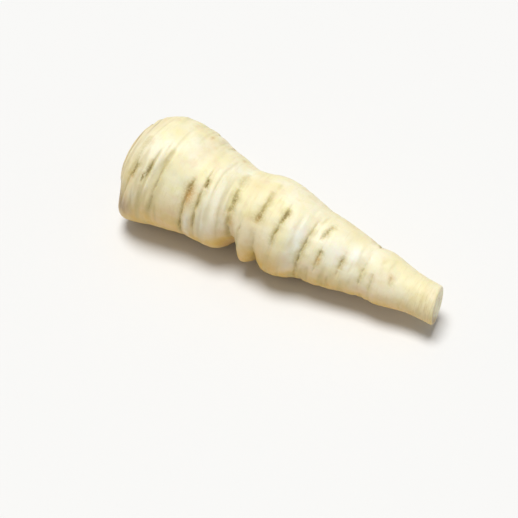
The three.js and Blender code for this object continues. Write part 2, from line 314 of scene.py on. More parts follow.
# The two ends are tanned where they dried: the shoulder along this stretch, and the skin near the
# cut, least on the side across from CUT_TAN_SIDE. The cut face is browned low on the front.
SHOULDER_TAN = (2, 13)
CUT_TAN = (CUT_AT - 20, CUT_AT - 3)
CUT_TAN_SIDE = 130
CUT_TAN_EDGE = (-0.6, 0.5)
CUT_TAN_LEAST = 0.35
CUT_LOW_SIDE = 110
CUT_LOW_EDGE = (-0.2, 0.9)

# The crown's own colours end along this stretch and over these radii.
CROWN_ALONG = (3, 10)
CROWN_RADII = (14, 24)

GROWN_UNIT = 10  # the noises read places in centimetres
SPOKE_DRIFT = 0.3  # how far the streaks of the cut face change from its middle to its rim

# What an attribute is at the crown's middle and at the cut's, where it isn't 0.
POLES = {
    "grown": ((OUTLINE[0][0] / GROWN_UNIT, 0, 0), (CUT_AT / GROWN_UNIT, 0, 0)),
    "shoulder": (1, 0),
    "crown": (1, 0),
    "cut": (0, 1),
    "cut_share": (1, 0),
    "cut_low": (0, 0.2),
}

# ---- The material: colours are sRGB of 0 to 255 --------------------------------------------------

# Noises over the skin: how far some are squeezed along and across the root and one is shifted, then
# the scale, detail and roughness of each and the distortion of some.
RINGED = (6.0, 0.9, 0.9)
FINE_RINGED = (16.0, 1.6, 1.6)
CROWN_RINGED = (2.0, 2.2, 2.2)
WARMTH_SHIFT = (7, 3, 5)
MOTTLE = (0.55, 3, 0.5)
PATCHES = (1.5, 3, 0.55)
WARMTH = (1.1, 3, 0.5)
BANDS = (0.8, 5, 0.6, 0.3)
THREADS = (1.0, 4, 0.6, 0.2)
DOTS = (9, 2, 0.5)
GRAIN = (24, 3, 0.6)
CROWN_RINGS = (1.0, 5, 0.62, 0.6)
STREAKS = (7, 3, 0.6)

CREAM_REACH = (0.38, 0.62)
CREAM = (242, 234, 192)
IVORY = (247, 242, 216)

# Tints all over the flesh: the noise they follow, its range, their strength at its end, the colour.
FLESH_TINTS = [
    ("patches", (0.54, 0.72), 0.4, (234, 229, 166)),
    ("warmth", (0.54, 0.7), 0.5, (236, 216, 184)),
    ("warmth", (0.46, 0.3), 0.35, (226, 224, 198)),
    ("bands", (0.56, 0.76), 0.3, (214, 198, 146)),
    ("threads", (0.56, 0.74), 0.22, (203, 186, 134)),
    ("grain", (0.58, 0.75), 0.25, (200, 183, 130)),
]

# Tints where an attribute says, broken up by a noise: the attribute, the noise, its range, the
# strength at either end of that, the colour.
# painted shade on the back, broken up by patches
BACK_SHADE_TINTS = [("back", "patches", (0.3, 0.7), (0.85, 0.5), (228, 213, 162))]
AREA_TINTS = [
    # painted shade along the lower edge, darker and yellower than the flesh
    ("lower_edge_shade", "warmth", (0.3, 0.7), (1.0, 0.75), (216, 174, 70)),
    ("ochre", "patches", (0.3, 0.7), (0.6, 1.0), (222, 200, 148)),
    # paler patches, partly painted light over the shade of the folds
    ("pale", "patches", (0.3, 0.7), (0.6, 1.0), (250, 250, 238)),
    ("shoulder", "bands", (0.3, 0.6), (0.35, 0.7), (224, 206, 156)),
    # painted shade low on the front of the crown's shoulder
    ("crown_low_shade", "bands", (0.35, 0.6), (0.65, 0.95), (148, 118, 92)),
    ("near_cut", "bands", (0.35, 0.6), (0.1, 0.7), (220, 202, 146)),
    ("near_cut", "threads", (0.46, 0.66), (0, 0.4), (192, 168, 114)),
]
# browning and painted shade in the creases and at the bottom of their cracks
CREASE_SHADE_TINTS = [
    ("crease", "patches", (0.3, 0.7), (0.15, 0.5), (200, 182, 124)),
    ("crack", "dots", (0.35, 0.6), (0.1, 0.55), (160, 142, 84)),
]
STAIN_TINTS = [("stain", "dots", (0.3, 0.6), (0.35, 0.75), (206, 160, 92))]

# The underside's painted shade, darker and warmer than the flesh: the range of warmth between its
# two colours, then its own range of patches and strengths.
UNDER_SHADE_REACH = (0.38, 0.64)
UNDER_SHADE = (224, 184, 96)
UNDER_SHADE_PINK = (228, 190, 130)
UNDER_REACH = (0.3, 0.7)
UNDER_STRENGTH = (0.95, 0.75)

# browning and painted shade in the furrows, darker with their depth
FURROW_STRENGTH = 0.45
FURROW_SHADE_BROWN = (198, 181, 124)

# A browned mark has a wide pale halo and a narrow dark core, both broken up by dots.
HALO_POWER = 0.5
HALO_REACH = (0.3, 0.6)
HALO_STRENGTH = (0.35, 0.7)
HALO_BROWN = (190, 174, 108)
MARK_CORE_FROM = (0.4, 1.05)
MARK_CORE_REACH = (0.36, 0.54)
MARK_CORE_STRENGTH = (0.25, 0.85)
MARK_CORE_BROWN = (130, 110, 54)

# The crown: tanned leaf scars, dark cracks, and greenish brown where the leaves were trimmed off.
SCAR_REACH = (0.38, 0.62)
SCAR_STRENGTH = (0.3, 0.85)
SCAR_TAN = (204, 174, 112)
SCAR_CRACK_STRENGTH = 0.85
SCAR_CRACK_BROWN = (126, 98, 52)
STEM_REACH = (0.4, 0.6)
STEM_GREEN = (158, 142, 84)
STEM_BROWN = (176, 150, 92)
LEAF_RIM_STRENGTH = 0.8
LEAF_RIM_PALE = (212, 198, 134)
LEAF_GAP_REACH = (0.35, 0.6)
LEAF_GAP_STRENGTH = (0.5, 0.9)
LEAF_GAP_BROWN = (96, 76, 42)
STUB_RADII = (7.5, 10.5)
STUB_STRENGTH = 0.92
GROOVE_INNER = (7.0, 8.8)  # radii over which the groove round the stub darkens and pales again
GROOVE_OUTER = (9.8, 13.0)
GROOVE_REACH = (0.36, 0.6)
GROOVE_STRENGTH = (0.35, 0.9)
GROOVE_BROWN = (122, 96, 54)

# The cut face, by the share of its radius: a pale core, a darker ring and dried, tanned flesh.
FACE_WAVER = (0.25, 0.75, -0.05, 0.05)
CORE_EDGE = (0.36, 0.5)
CORE_PALE = (242, 236, 196)
FLESH_PALE = (248, 244, 212)
RING_INNER = (0.36, 0.46)
RING_OUTER = (0.46, 0.6)
RING_STRENGTH = 0.6
RING_TAN = (214, 194, 146)
STREAK_REACH = (0.48, 0.72)
STREAK_STRENGTH = 0.5
STREAK_TAN = (222, 204, 164)
DRIED_FROM = (0.3, 0.92)
DRIED_STRENGTH = (0.1, 0.85)
DRIED_BROWN = (172, 146, 98)

ROUGHNESS_REACH = (0.3, 0.7)
ROUGHNESS = (0.42, 0.6)
SPECULAR = 0.4
SUBSURFACE = 0.25
SUBSURFACE_RADIUS = (1.0, 0.62, 0.3)
SUBSURFACE_SCALE = 0.004
# The finest relief of the skin: the noise, how strong, how high in metres.
BUMPS = [("bands", 0.35, 0.0006), ("threads", 0.3, 0.0003), ("grain", 0.12, 0.0002)]

# ---- Stage, light and camera, in metres and degrees ----------------------------------------------

CAMERA_AZIMUTH = 31
CAMERA_ELEVATION = 46
CAMERA_DISTANCE = 0.9
CAMERA_LENS = 115  # millimetres, on a sensor of SENSOR_WIDTH
SENSOR_WIDTH = 36
CAMERA_NEAR = 0.05
AIM = (0.0133, 0.0218)  # how far the camera looks left of and below the root's middle

FLOOR_HALF = 40
FLOOR_GREY = 0.8
FLOOR_ROUGHNESS = 0.9
FLOOR_SPECULAR = 0.1

SKY_STRENGTH = 0.3
KEY_TOWARD = (-0.12, 0.0, 1.0)  # the way from the root to the lamp
KEY_STRENGTH = 2.8
KEY_SOFTNESS = 28  # degrees that the soft box is wide
KEY_COLOUR = (1, 0.995, 0.975)


# ---- Small helpers -------------------------------------------------------------------------------


def bell(x):
    return np.exp(-x * x)


def notch(x, power=1):
    return np.maximum(0, 1 - np.abs(x)) ** power


def smooth(x, low, high):
    t = np.clip((x - low) / (high - low), 0, 1)
    return t * t * (3 - 2 * t)


def ranged(pair, share):
    """The least value of a pair, with a share of what may be added to it."""
    return pair[0] + pair[1] * share


def turn(a, b):
    """The shorter way round from angle b to angle a, in degrees."""
    return (a - b + 180) % 360 - 180


def across(angle, start, end):
    """How far round a crease or mark each angle is: 0 in its middle, -1 and 1 at its ends."""
    return turn(angle, (start + end) / 2) / ((end - start) / 2)


def faded(t, power=1):
    """1 in the middle of a crease or mark and 0 from its ends on."""
    return np.maximum(0, 1 - t * t) ** power


def wave(angle, at, size, length, begun):
    """A small wave round the root, begun at its own place for every crease and mark."""
    return size * np.sin(angle / length + begun * at)


def ring_waves(angle, rows):
    """Waves that close round the root: height, times round, begun at."""
    a = np.radians(angle)
    return sum(rise * np.sin(times * a + begun) for rise, times, begun in rows)


def facing(angle, side, edge):
    """How much each angle faces a side, from 0 at the first cosine of the edge to 1 at the last."""
    return smooth(np.cos(np.radians(angle - side)), *edge)


def smooth_line(pairs, count):
    """Points along a uniform Catmull-Rom line through the pairs, as three.js's SplineCurve."""
    p = np.array(pairs, float)
    q = (len(p) - 1) * np.arange(count + 1) / count
    i = np.floor(q).astype(int)
    w = (q - i)[:, None]
    last = len(p) - 1
    p0, p1 = p[np.maximum(i - 1, 0)], p[i]
    p2, p3 = p[np.minimum(i + 1, last)], p[np.minimum(i + 2, last)]
    v0, v1 = (p2 - p0) / 2, (p3 - p1) / 2
    return (2 * p1 - 2 * p2 + v0 + v1) * w**3 + (3 * p2 - 3 * p1 - 2 * v0 - v1) * w**2 + v0 * w + p1


def follow(line, x):
    return np.interp(x, line[:, 0], line[:, 1])


# ---- The root's form -----------------------------------------------------------------------------


def far_creases():
    """Creases on the sides that face away, as rows of CREASES."""
    made = []
    for i in range(FAR_CREASES):
        a, b, c, d = (((i + 1) * step) % 1 for step in GOLDEN)
        along = FAR_FROM + (FAR_TO - FAR_FROM) * (i + ranged(FAR_STRAY, a)) / FAR_CREASES
        middle = ranged(FAR_MIDDLE, b)
        half = ranged(FAR_HALF, c)
        depths = ranged(FAR_SLIT, c), ranged(FAR_FOLD, d)
        made.append((along, middle - half, middle + half, *depths, ranged(FAR_LEAN, d)))
    return made


def far_marks():
    """Browned middles of the far creases, each a little off its crease's middle, as rows of MARKS."""
    made = []
    for i, (along, start, end, slit, _, lean) in enumerate(far_creases()):
        wide = end - start
        middle = (start + end) / 2 + FAR_MARK_OFF * wide * math.sin(FAR_MARK_TURN * i)
        half = ranged(FAR_MARK_HALF, (i * GOLDEN[1]) % 1) * wide
        strength = ranged(FAR_MARK_STRENGTH, slit)
        made.append((along, middle - half, middle + half, FAR_MARK_WIDTH, strength, FAR_MARK_LEAN * lean))
    return made


ALL_CREASES = CREASES + far_creases()
ALL_MARKS = MARKS + far_marks()
AXIS_UP = smooth_line([(x, up) for x, up, _ in AXIS], AXIS_POINTS)
AXIS_FRONT = smooth_line([(x, front) for x, _, front in AXIS], AXIS_POINTS)
SLANT_LINE = smooth_line(SLANT, AXIS_POINTS)


def creased(along, angle):
    """Height of the skin in the creases, and how much of a crease and of a crack is there."""
    height = np.zeros(np.broadcast(along, angle).shape)
    crease_mask = np.zeros_like(height)
    crack_mask = np.zeros_like(height)
    for at, start, end, slit, fold, lean in ALL_CREASES:
        t = across(angle, start, end)
        reach = faded(t, CREASE_TAPER)
        off = along - at - t * lean / 2 - sum(wave(angle, at, *row) for row in CREASE_WAVER)
        depth = SLIT_DEEP + math.prod(wave(angle, at, *row) for row in SLIT_WAVES)
        height -= reach * (slit * depth * notch(off / SLIT_WIDTH, SLIT_SHAPE) + fold * bell(off / FOLD_WIDTH))
        full = min(1, slit)
        crack = reach**CRACK_TAPER * smooth(depth, *CRACK_OPENS) * full * notch(off / CRACK_WIDTH)
        height -= CRACK_DEPTH * crack
        crack_mask = np.maximum(crack_mask, crack)
        crease_mask = np.maximum(crease_mask, reach * full * bell(off / CREASE_TINT_WIDTH))
    return height, crease_mask, crack_mask


def swollen(along, angle):
    """Height of the broad dents and swellings, the low waves and the oval of the section."""
    a = np.radians(angle)
    height = OVAL * np.cos(2 * a + along / OVAL_TWIST)
    for rise, length, shift, turned, begun in WAVES:
        height += rise * np.sin(along / length + shift * np.cos(a + turned) + begun)
    height *= smooth(along, *WAVES_REACH)
    for at, middle, half, spread, rise in SWELLS:
        height += rise * bell((along - at) / half) * bell(turn(angle, middle) / spread)
    return height


def scars(radius, angle):
    """Ridges of the leaf scars on the crown."""
    waver = ring_waves(angle, SCAR_WAVES)
    return sum(rise * bell((radius - r - waver) / SCAR_WIDTH) for r, rise in LEAF_SCARS)


def place(along, radius, angle):
    """A point of the root in space, before it is set down."""
    a = np.radians(angle)
    slant = follow(SLANT_LINE, along) * np.cos(np.radians(angle - SLANT_SIDE))
    lean = CUT_LEAN * smooth(along, CUT_AT - CUT_REACH, CUT_AT) * np.cos(np.radians(angle - CUT_SIDE))
    return np.stack([
        along + slant + np.where(radius > 0, lean, 0),
        -follow(AXIS_FRONT, along) - radius * np.sin(a),
        follow(AXIS_UP, along) + radius * np.cos(a),
    ], -1)


# ---- Marks, wrinkles and the crown ---------------------------------------------------------------


def browned(along, angle):
    """How browned the creases are: strong in their middles, ragged at the edges, fading at the ends."""
    mask = np.zeros(np.broadcast(along, angle).shape)
    for at, start, end, half, strength, lean in ALL_MARKS:
        t = across(angle, start, end)
        waver = sum(wave(angle, at, *row) for row in MARK_WAVER)
        off = (along - at - t * lean / 2 - waver) / (MARK_WIDENING * half)
        swell = MARK_SWELL + wave(angle, at, *MARK_WAVE)
        mask = np.maximum(mask, strength * faded(t, MARK_TAPER) * bell(off / swell))
    return mask


def patch_mask(rows, along, angle):
    """How much of the listed soft-edged areas is at each place."""
    mask = np.zeros(np.broadcast(along, angle).shape)
    for at, middle, half, spread, strength in rows:
        mask = np.maximum(mask, strength * bell((along - at) / half) * bell(turn(angle, middle) / spread))
    return mask


def wrinkles(along, angle):
    """Many small ridges and furrows across the skin, more of them in the wrinkled zones."""
    random = np.random.default_rng(WRINKLE_SEED)
    height = np.zeros(np.broadcast(along, angle).shape)
    for start, end, low, high, count, rise_range in WRINKLE_ZONES:
        for _ in range(count):
            at = random.uniform(start, end)
            middle = random.uniform(low, high)
            half = random.uniform(*WRINKLE_HALF)
            width = random.uniform(*WRINKLE_WIDTH)
            lean = random.normal(0, WRINKLE_LEAN)
            rise = random.uniform(*rise_range)
            rows = np.abs(along[:, 0] - at) < WRINKLE_REACH * width + abs(lean)
            t = turn(angle, middle) / half
            off = (along[rows] - at - t * lean / 2) / width
            height[rows] += rise * faded(t) * bell(off)
    return height


def crown_lines(radius, angle):
    """Height of the broken arcs of dried leaf bases round the crown."""
    random = np.random.default_rng(CROWN_SEED)
    height = np.zeros(np.broadcast(radius, angle).shape)
    for _ in range(CROWN_LINES):
        at = random.uniform(*LINE_RADIUS)
        middle = random.uniform(0, 360)
        half = random.uniform(*LINE_HALF)
        width = random.uniform(*LINE_WIDTH)
        drift = random.normal(0, LINE_DRIFT)
        rise = random.uniform(*LINE_RISE)
        t = turn(angle, middle) / half
        height += rise * faded(t) * bell((radius - at - t * drift) / width)
    return height


def leaf_bases(radius, angle):
    """How much of the trimmed leaf bases' rims, and of the gaps beside them, is at each place."""
    rims = np.zeros(np.broadcast(radius, angle).shape)
    gaps = np.zeros_like(rims)
    height, times, step = LEAF_WAVE
    for k in range(LEAF_COUNT):
        at = LEAF_FROM + LEAF_APART * k
        t = turn(angle, LEAF_TURN * k) / (LEAF_HALF - LEAF_SHRINK * k)
        reach = faded(t, LEAF_TAPER)
        off = radius - at - height * np.sin(np.radians(times * angle + step * k)) + LEAF_CURL * t * t
        rims = np.maximum(rims, reach * bell(off / LEAF_RIM))
        gaps = np.maximum(gaps, reach * bell((off - LEAF_GAP_AT) / LEAF_GAP_WIDTH))
    return rims, gaps


# ---- The skin's mesh -----------------------------------------------------------------------------


def crease_stops(line, gone, shoulder):
    """Distances along the outline at which the creases want rings."""
    stops = set()
    for at, *_ in ALL_CREASES:
        for offset in np.arange(-CREASE_REACH, CREASE_REACH, CREASE_STEP):
            if line[shoulder, 0] < at + offset < CUT_AT - RIM_CLEAR:
                stops.add(float(np.interp(at + offset, line[shoulder:, 0], gone[shoulder:])))
    return sorted(stops)


def ring_stops(line, gone, shoulder):
    """Distances along the outline of all rings: even over the crown, close across every crease."""
    stops = list(np.arange(1, STUB_REACH / STUB_STEP + 1) * STUB_STEP)
    rest = gone[shoulder] - stops[-1]
    stops += list(stops[-1] + np.linspace(0, rest, int(rest / CROWN_STEP) + 1)[1:])
    rim_stops = gone[-1] - RIM_ROUND * np.array(RIM_RINGS)
    for mark in crease_stops(line, gone, shoulder) + list(rim_stops):
        last = stops[-1]
        least = LEAST_GAP if mark < rim_stops[0] else LEAST_RIM_GAP
        if mark - last < least:
            continue
        pieces = math.ceil((mark - last) / BODY_STEP)
        stops += [last + (mark - last) * k / pieces for k in range(1, pieces + 1)]
    return np.array(stops)


def skin_rings():
    """The rings of the skin, one row each: place, radius, which way the skin faces, part of the root."""
    line = smooth_line(OUTLINE, OUTLINE_POINTS)
    step = np.diff(line, axis=0)
    gone = np.concatenate([[0], np.cumsum(np.hypot(step[:, 0], step[:, 1]))])
    shoulder = int(np.argmax(line[:, 1] > SHOULDER_RADIUS))
    stops = ring_stops(line, gone, shoulder)[:, None]
    index = np.clip(np.searchsorted(gone, stops[:, 0]), 1, len(line) - 1)
    tangent = step[index - 1] / np.hypot(*step[index - 1].T)[:, None]
    return SimpleNamespace(
        along=np.interp(stops, gone, line[:, 0]),
        radius=np.interp(stops, gone, line[:, 1]),
        out_along=-tangent[:, 1:2],
        out_radius=tangent[:, 0:1],
        crown=1 - smooth(stops, *(gone[shoulder] - np.array(CROWN_ENDS))),
        stub=1 - smooth(stops, *STUB_EDGE),
    )


def skin_relief(rings, angle):
    """How far the skin stands out at each point, and the attributes that go with that."""
    creases, crease, crack = creased(rings.along, angle)
    skin = smooth(rings.radius, *SKIN_RADII)
    brown = browned(rings.along, angle) * (1 - rings.crown)
    ripple = wrinkles(rings.along, angle) * (1 - rings.crown)
    lines = crown_lines(rings.radius, angle) * rings.crown * smooth(rings.radius, *LINES_SET_IN)
    rims, gaps = leaf_bases(rings.radius, angle)
    rise = (creases + swollen(rings.along, angle) + ripple - MARK_DEPTH * brown) * skin
    rise += scars(rings.radius, angle) * (1 - smooth(rings.along, *SCARS_FADE))
    rise += lines + rings.stub * (LEAF_RISE * rims - LEAF_GAP_DEPTH * gaps)
    return rise, {
        "crease": crease * skin,
        "crack": crack * skin,
        "brown": brown * skin,
        "furrow": np.clip(-ripple / FURROW_FULL, 0, 1) * skin,
        "scar_crack": np.clip(-lines / LINE_CRACK_FULL, 0, 1),
        "leaf_gap": gaps * rings.stub,
        "leaf_rim": rims * rings.stub,
    }


def skin_points(rings, rise, angle):
    """Points of the skin, moved out by its relief and rounded off at the worn rim of the cut."""
    slide = 1 - smooth(rings.along, CUT_AT - CUT_EVEN, CUT_AT)
    edge = np.maximum(0, 1 - (CUT_AT - rings.along) / RIM_ROUND)
    worn = RIM_ROUND * (1 - np.sqrt(np.maximum(0, 1 - edge**2)))
    along = rings.along + rise * rings.out_along * slide
    return place(along, rings.radius + rise * rings.out_radius - worn, angle)


def cut_points(rim, middle, shares, angle):
    """Points of the cut face inside its rim."""
    a = np.radians(angle)
    sway, times = SPOKE_SWAY
    core = CORE_SHARE + ring_waves(angle, CORE_WAVES)
    face = middle + (rim - middle) * shares[..., None]
    face[..., 0] -= DISH * (1 - shares**2)
    face[..., 0] += CORE_RISE * bell((shares - core) / CORE_WIDTH)
    face[..., 0] += SPOKE_RISE * shares * np.sin(SPOKES * a + sway * np.sin(times * a))
    return face


def colour_places(along, radius, angle):
    """How much of each tinted area is at every point of the skin and the cut face."""
    # under: how much of the underside's painted shade each point has
    under = facing(angle, UNDERSIDE, UNDER_EDGE)
    inland = UNDER_AT_CROWN + (1 - UNDER_AT_CROWN) * smooth(along, *UNDER_GROWS)
    tan_side = CUT_TAN_LEAST + (1 - CUT_TAN_LEAST) * facing(angle, CUT_TAN_SIDE, CUT_TAN_EDGE)
    return {
        **{name: patch_mask(rows, along, angle) for name, rows in AREAS.items()},
        "under": under * inland,
        "shoulder": 1 - smooth(along, *SHOULDER_TAN),
        "near_cut": smooth(along, *CUT_TAN) * tan_side,
        "cut_low": facing(angle, CUT_LOW_SIDE, CUT_LOW_EDGE),
        "crown": (1 - smooth(along, *CROWN_ALONG)) * (1 - smooth(radius, *CROWN_RADII)),
        "crown_radius": radius,
    }


def surface_attributes(rings, shares, angle):
    """The attributes that don't hang on the relief, for the rings of the skin and then of the cut face."""
    ones = np.ones((1, COLUMNS))
    along = np.concatenate([rings.along, np.full_like(shares, CUT_AT)]) * ones
    radius = np.concatenate([rings.radius, shares * rings.radius[-1]]) * ones
    share = np.concatenate([np.ones_like(rings.along), shares]) * ones
    cut = np.zeros_like(along)
    cut[len(rings.along) - 1:] = 1  # the rim's own ring has the cut's colour too
    degrees = angle * np.ones_like(along)
    a = np.radians(degrees)
    return {
        **colour_places(along, radius, degrees),
        "grown": np.stack([along, radius * np.cos(a), radius * np.sin(a)], -1) / GROWN_UNIT,
        "spokes": np.stack([np.cos(a), np.sin(a), SPOKE_DRIFT * share], -1),
        "cut": cut,
        "cut_share": share,
    }


def with_poles(grid, first=0, last=0):
    """The points of all rings as one list, between a value at the crown's middle and one at the cut's."""
    rows = grid.reshape(-1, *grid.shape[2:])
    first, last = (np.broadcast_to(value, rows.shape[1:])[None] for value in (first, last))
    return np.concatenate([first, rows, last])


def ring_faces(count):
    """Faces between the rings: a fan round each middle and four-sided faces from ring to ring."""
    grid = 1 + np.arange(count * COLUMNS).reshape(count, COLUMNS)
    after = np.roll(grid, -1, axis=1)
    quads = np.stack([grid[:-1], after[:-1], after[1:], grid[1:]], -1).reshape(-1, 4)
    first = [(0, b, a) for a, b in zip(grid[0].tolist(), after[0].tolist())]
    last = [(a, b, count * COLUMNS + 1) for a, b in zip(grid[-1].tolist(), after[-1].tolist())]
    return first + quads.tolist() + last


def skin_mesh():
    """Vertices, faces and attributes of the whole skin, in millimetres before it is set down."""
    rings = skin_rings()
    angle = (360 * np.arange(COLUMNS) / COLUMNS)[None, :]
    rise, marks = skin_relief(rings, angle)
    skin = skin_points(rings, rise, angle)
    shares = np.linspace(1, 0, CUT_RINGS + 1)[1:-1, None]
    middle = place(CUT_AT, 0, 0)
    points = np.concatenate([skin, cut_points(skin[-1], middle, shares, angle)])
    on_cut = np.zeros((len(shares), COLUMNS))
    attributes = {name: np.concatenate([values, on_cut]) for name, values in marks.items()}
    attributes.update(surface_attributes(rings, shares, angle))
    vertices = with_poles(points, place(OUTLINE[0][0], 0, 0), middle - [DISH, 0, 0])
    listed = {name: with_poles(values, *POLES.get(name, (0, 0))) for name, values in attributes.items()}
    return vertices, ring_faces(len(points)), listed


def set_down(points, low, high):
    """Tips and lowers the skin as the CAD source does, in millimetres, and keeps it in the CAD box."""
    c, s = math.cos(math.radians(PITCH)), math.sin(math.radians(PITCH))
    x, y, z = points.T
    points = np.stack([c * x + s * z, y, c * z - s * x], -1)
    box_low, box_high = points.min(0), points.max(0)
    middle = (box_low + box_high) / 2
    points -= [middle[0], middle[1], box_low[2] + FLAT_DEPTH]
    points += [(low[0] + high[0]) / 2, (low[1] + high[1]) / 2, 0]
    return np.clip(points, low, high)


def make_skin():
    """The visual skin as one object, set down in the CAD node's box, with its attributes."""
    low, high = (np.array(corner) * PER_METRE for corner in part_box("parsnip"))
    points, faces, attributes = skin_mesh()
    mesh = bpy.data.meshes.new("root_skin")
    mesh.from_pydata((set_down(points, low, high) / PER_METRE).tolist(), [], faces)
    for name, values in attributes.items():
        kind, field = ("FLOAT_VECTOR", "vector") if values.ndim == 2 else ("FLOAT", "value")
        layer = mesh.attributes.new(name, kind, "POINT")
        layer.data.foreach_set(field, values.astype(np.float32).ravel())
    mesh.polygons.foreach_set("use_smooth", [True] * len(mesh.polygons))
    mesh.update()
    skin = bpy.data.objects.new("root_skin", mesh)
    bpy.context.scene.collection.objects.link(skin)
    return skin


# ---- The material --------------------------------------------------------------------------------


def linear(colour):
    """An sRGB colour of 0 to 255 as linear RGBA."""
    shares = (value / 255 for value in colour)
    return (*(v / 12.92 if v <= 0.04045 else ((v + 0.055) / 1.055) ** 2.4 for v in shares), 1)


class Graph:
    """Short names for the nodes that the materials use."""

    def __init__(self, material):
        material.use_nodes = True
        self.tree = material.node_tree
        self.tree.nodes.clear()

    def add(self, kind, **settings):
        node = self.tree.nodes.new(kind)
        for name, value in settings.items():
            setattr(node, name, value)
        return node

    def feed(self, socket, value):
        if isinstance(value, bpy.types.NodeSocket):
            self.tree.links.new(value, socket)
        else:
            socket.default_value = value

    def fill(self, node, **values):
        """Sets a node's inputs by name, with _ for a space."""
        for name, value in values.items():
            self.feed(node.inputs[name.replace("_", " ")], value)
        return node

    def attribute(self, name, output="Fac"):
        return self.add("ShaderNodeAttribute", attribute_name=name).outputs[output]

    def mapped(self, vector, **placing):
        return self.fill(self.add("ShaderNodeMapping"), Vector=vector, **placing).outputs["Vector"]

    def noise(self, vector, scale, detail, roughness, distortion=0):
        node = self.add("ShaderNodeTexNoise")
        self.fill(node, Vector=vector, Scale=scale, Detail=detail, Roughness=roughness, Distortion=distortion)
        return node.outputs["Fac"]

    def between(self, value, low, high, to_low=0, to_high=1):
        """A value's way from low to high as a smooth way from to_low to to_high."""
        node = self.add("ShaderNodeMapRange", interpolation_type="SMOOTHSTEP")
        self.fill(node, Value=value, From_Min=low, From_Max=high, To_Min=to_low, To_Max=to_high)
        return node.outputs["Result"]

    def times(self, a, b):
        return self.math("MULTIPLY", a, b)

    def math(self, operation, a, b):
        node = self.add("ShaderNodeMath", operation=operation)
        self.feed(node.inputs[0], a)
        self.feed(node.inputs[1], b)
        return node.outputs[0]

    def broken(self, amount, noise, reach, strength):
        """An amount broken up by a noise: its range, and the strength at either end of that."""
        return self.times(amount, self.between(noise, *reach, *strength))

    def mix(self, factor, a, b):
        """From colour a to colour b. The node's colours are its inputs 6 and 7."""
        node = self.add("ShaderNodeMix", data_type="RGBA")
        self.feed(node.inputs[0], factor)
        self.feed(node.inputs[6], a)
        self.feed(node.inputs[7], b)
        return node.outputs[2]

    def tinted(self, colour, noises, rows):
        """A colour with tints laid over it, each where an attribute says."""
        for name, noise, reach, strength, tint in rows:
            amount = self.broken(self.attribute(name), noises[noise], reach, strength)
            colour = self.mix(amount, colour, linear(tint))
        return colour

    def bump(self, height, strength, distance, normal=None):
        node = self.fill(self.add("ShaderNodeBump"), Height=height, Strength=strength, Distance=distance)
        if normal is not None:
            self.feed(node.inputs["Normal"], normal)
        return node.outputs["Normal"]


def skin_noises(g, grown):
    """The noises that the flesh, the creases and the crown share."""
    return {
        "mottle": g.noise(grown, *MOTTLE),
        "patches": g.noise(grown, *PATCHES),
        "warmth": g.noise(g.mapped(grown, Location=WARMTH_SHIFT), *WARMTH),
        "bands": g.noise(g.mapped(grown, Scale=RINGED), *BANDS),
        "threads": g.noise(g.mapped(grown, Scale=FINE_RINGED), *THREADS),
        "dots": g.noise(grown, *DOTS),
        "grain": g.noise(grown, *GRAIN),
    }


def flesh_colour(g, noises):
    """Cream to ivory with faint patches and rings, painted shade on the underside, along the lower edge, on
    the back and low on the crown's shoulder, paler patches that are partly painted light, and the dried ends.
    """
    colour = g.mix(g.between(noises["mottle"], *CREAM_REACH), linear(CREAM), linear(IVORY))
    for noise, reach, strength, tint in FLESH_TINTS:
        colour = g.mix(g.between(noises[noise], *reach, 0, strength), colour, linear(tint))
    colour = g.tinted(colour, noises, BACK_SHADE_TINTS)
    # painted shade: the underside darker and warmer than the flesh, broken up by patches
    shaded_under = g.mix(g.between(noises["warmth"], *UNDER_SHADE_REACH), linear(UNDER_SHADE), linear(UNDER_SHADE_PINK))
    under = g.broken(g.attribute("under"), noises["patches"], UNDER_REACH, UNDER_STRENGTH)
    return g.tinted(g.mix(under, colour, shaded_under), noises, AREA_TINTS)


def crease_colour(g, noises, colour):
    """The flesh's colour with browning and painted shade in its furrows, creases and cracks, and with its
    browned marks and stains.
    """
    brown = g.attribute("brown")
    dots = noises["dots"]
    colour = g.mix(g.times(g.attribute("furrow"), FURROW_STRENGTH), colour, linear(FURROW_SHADE_BROWN))
    colour = g.tinted(colour, noises, CREASE_SHADE_TINTS)
    halo = g.broken(g.math("POWER", brown, HALO_POWER), dots, HALO_REACH, HALO_STRENGTH)
    colour = g.mix(halo, colour, linear(HALO_BROWN))
    core = g.broken(g.between(brown, *MARK_CORE_FROM), dots, MARK_CORE_REACH, MARK_CORE_STRENGTH)
    colour = g.mix(core, colour, linear(MARK_CORE_BROWN))
    return g.tinted(colour, noises, STAIN_TINTS)


def crown_colour(g, grown, colour):
    """The skin's colour with the crown's leaf scars, its trimmed stub and the groove round that."""
    crown = g.attribute("crown")
    radius = g.attribute("crown_radius")
    rings = g.noise(g.mapped(grown, Scale=CROWN_RINGED), *CROWN_RINGS)
    colour = g.mix(g.broken(crown, rings, SCAR_REACH, SCAR_STRENGTH), colour, linear(SCAR_TAN))
    colour = g.mix(g.times(g.attribute("scar_crack"), SCAR_CRACK_STRENGTH), colour, linear(SCAR_CRACK_BROWN))
    stem = g.mix(g.between(rings, *STEM_REACH), linear(STEM_GREEN), linear(STEM_BROWN))
    stem = g.mix(g.times(g.attribute("leaf_rim"), LEAF_RIM_STRENGTH), stem, linear(LEAF_RIM_PALE))
    gap = g.broken(g.attribute("leaf_gap"), rings, LEAF_GAP_REACH, LEAF_GAP_STRENGTH)
    stem = g.mix(gap, stem, linear(LEAF_GAP_BROWN))
    stub = g.between(radius, *STUB_RADII, 1, 0)
    colour = g.mix(g.times(crown, g.times(stub, STUB_STRENGTH)), colour, stem)
    groove = g.times(g.between(radius, *GROOVE_INNER), g.between(radius, *GROOVE_OUTER, 1, 0))
    groove = g.broken(g.times(groove, crown), rings, GROOVE_REACH, GROOVE_STRENGTH)
    return g.mix(groove, colour, linear(GROOVE_BROWN))


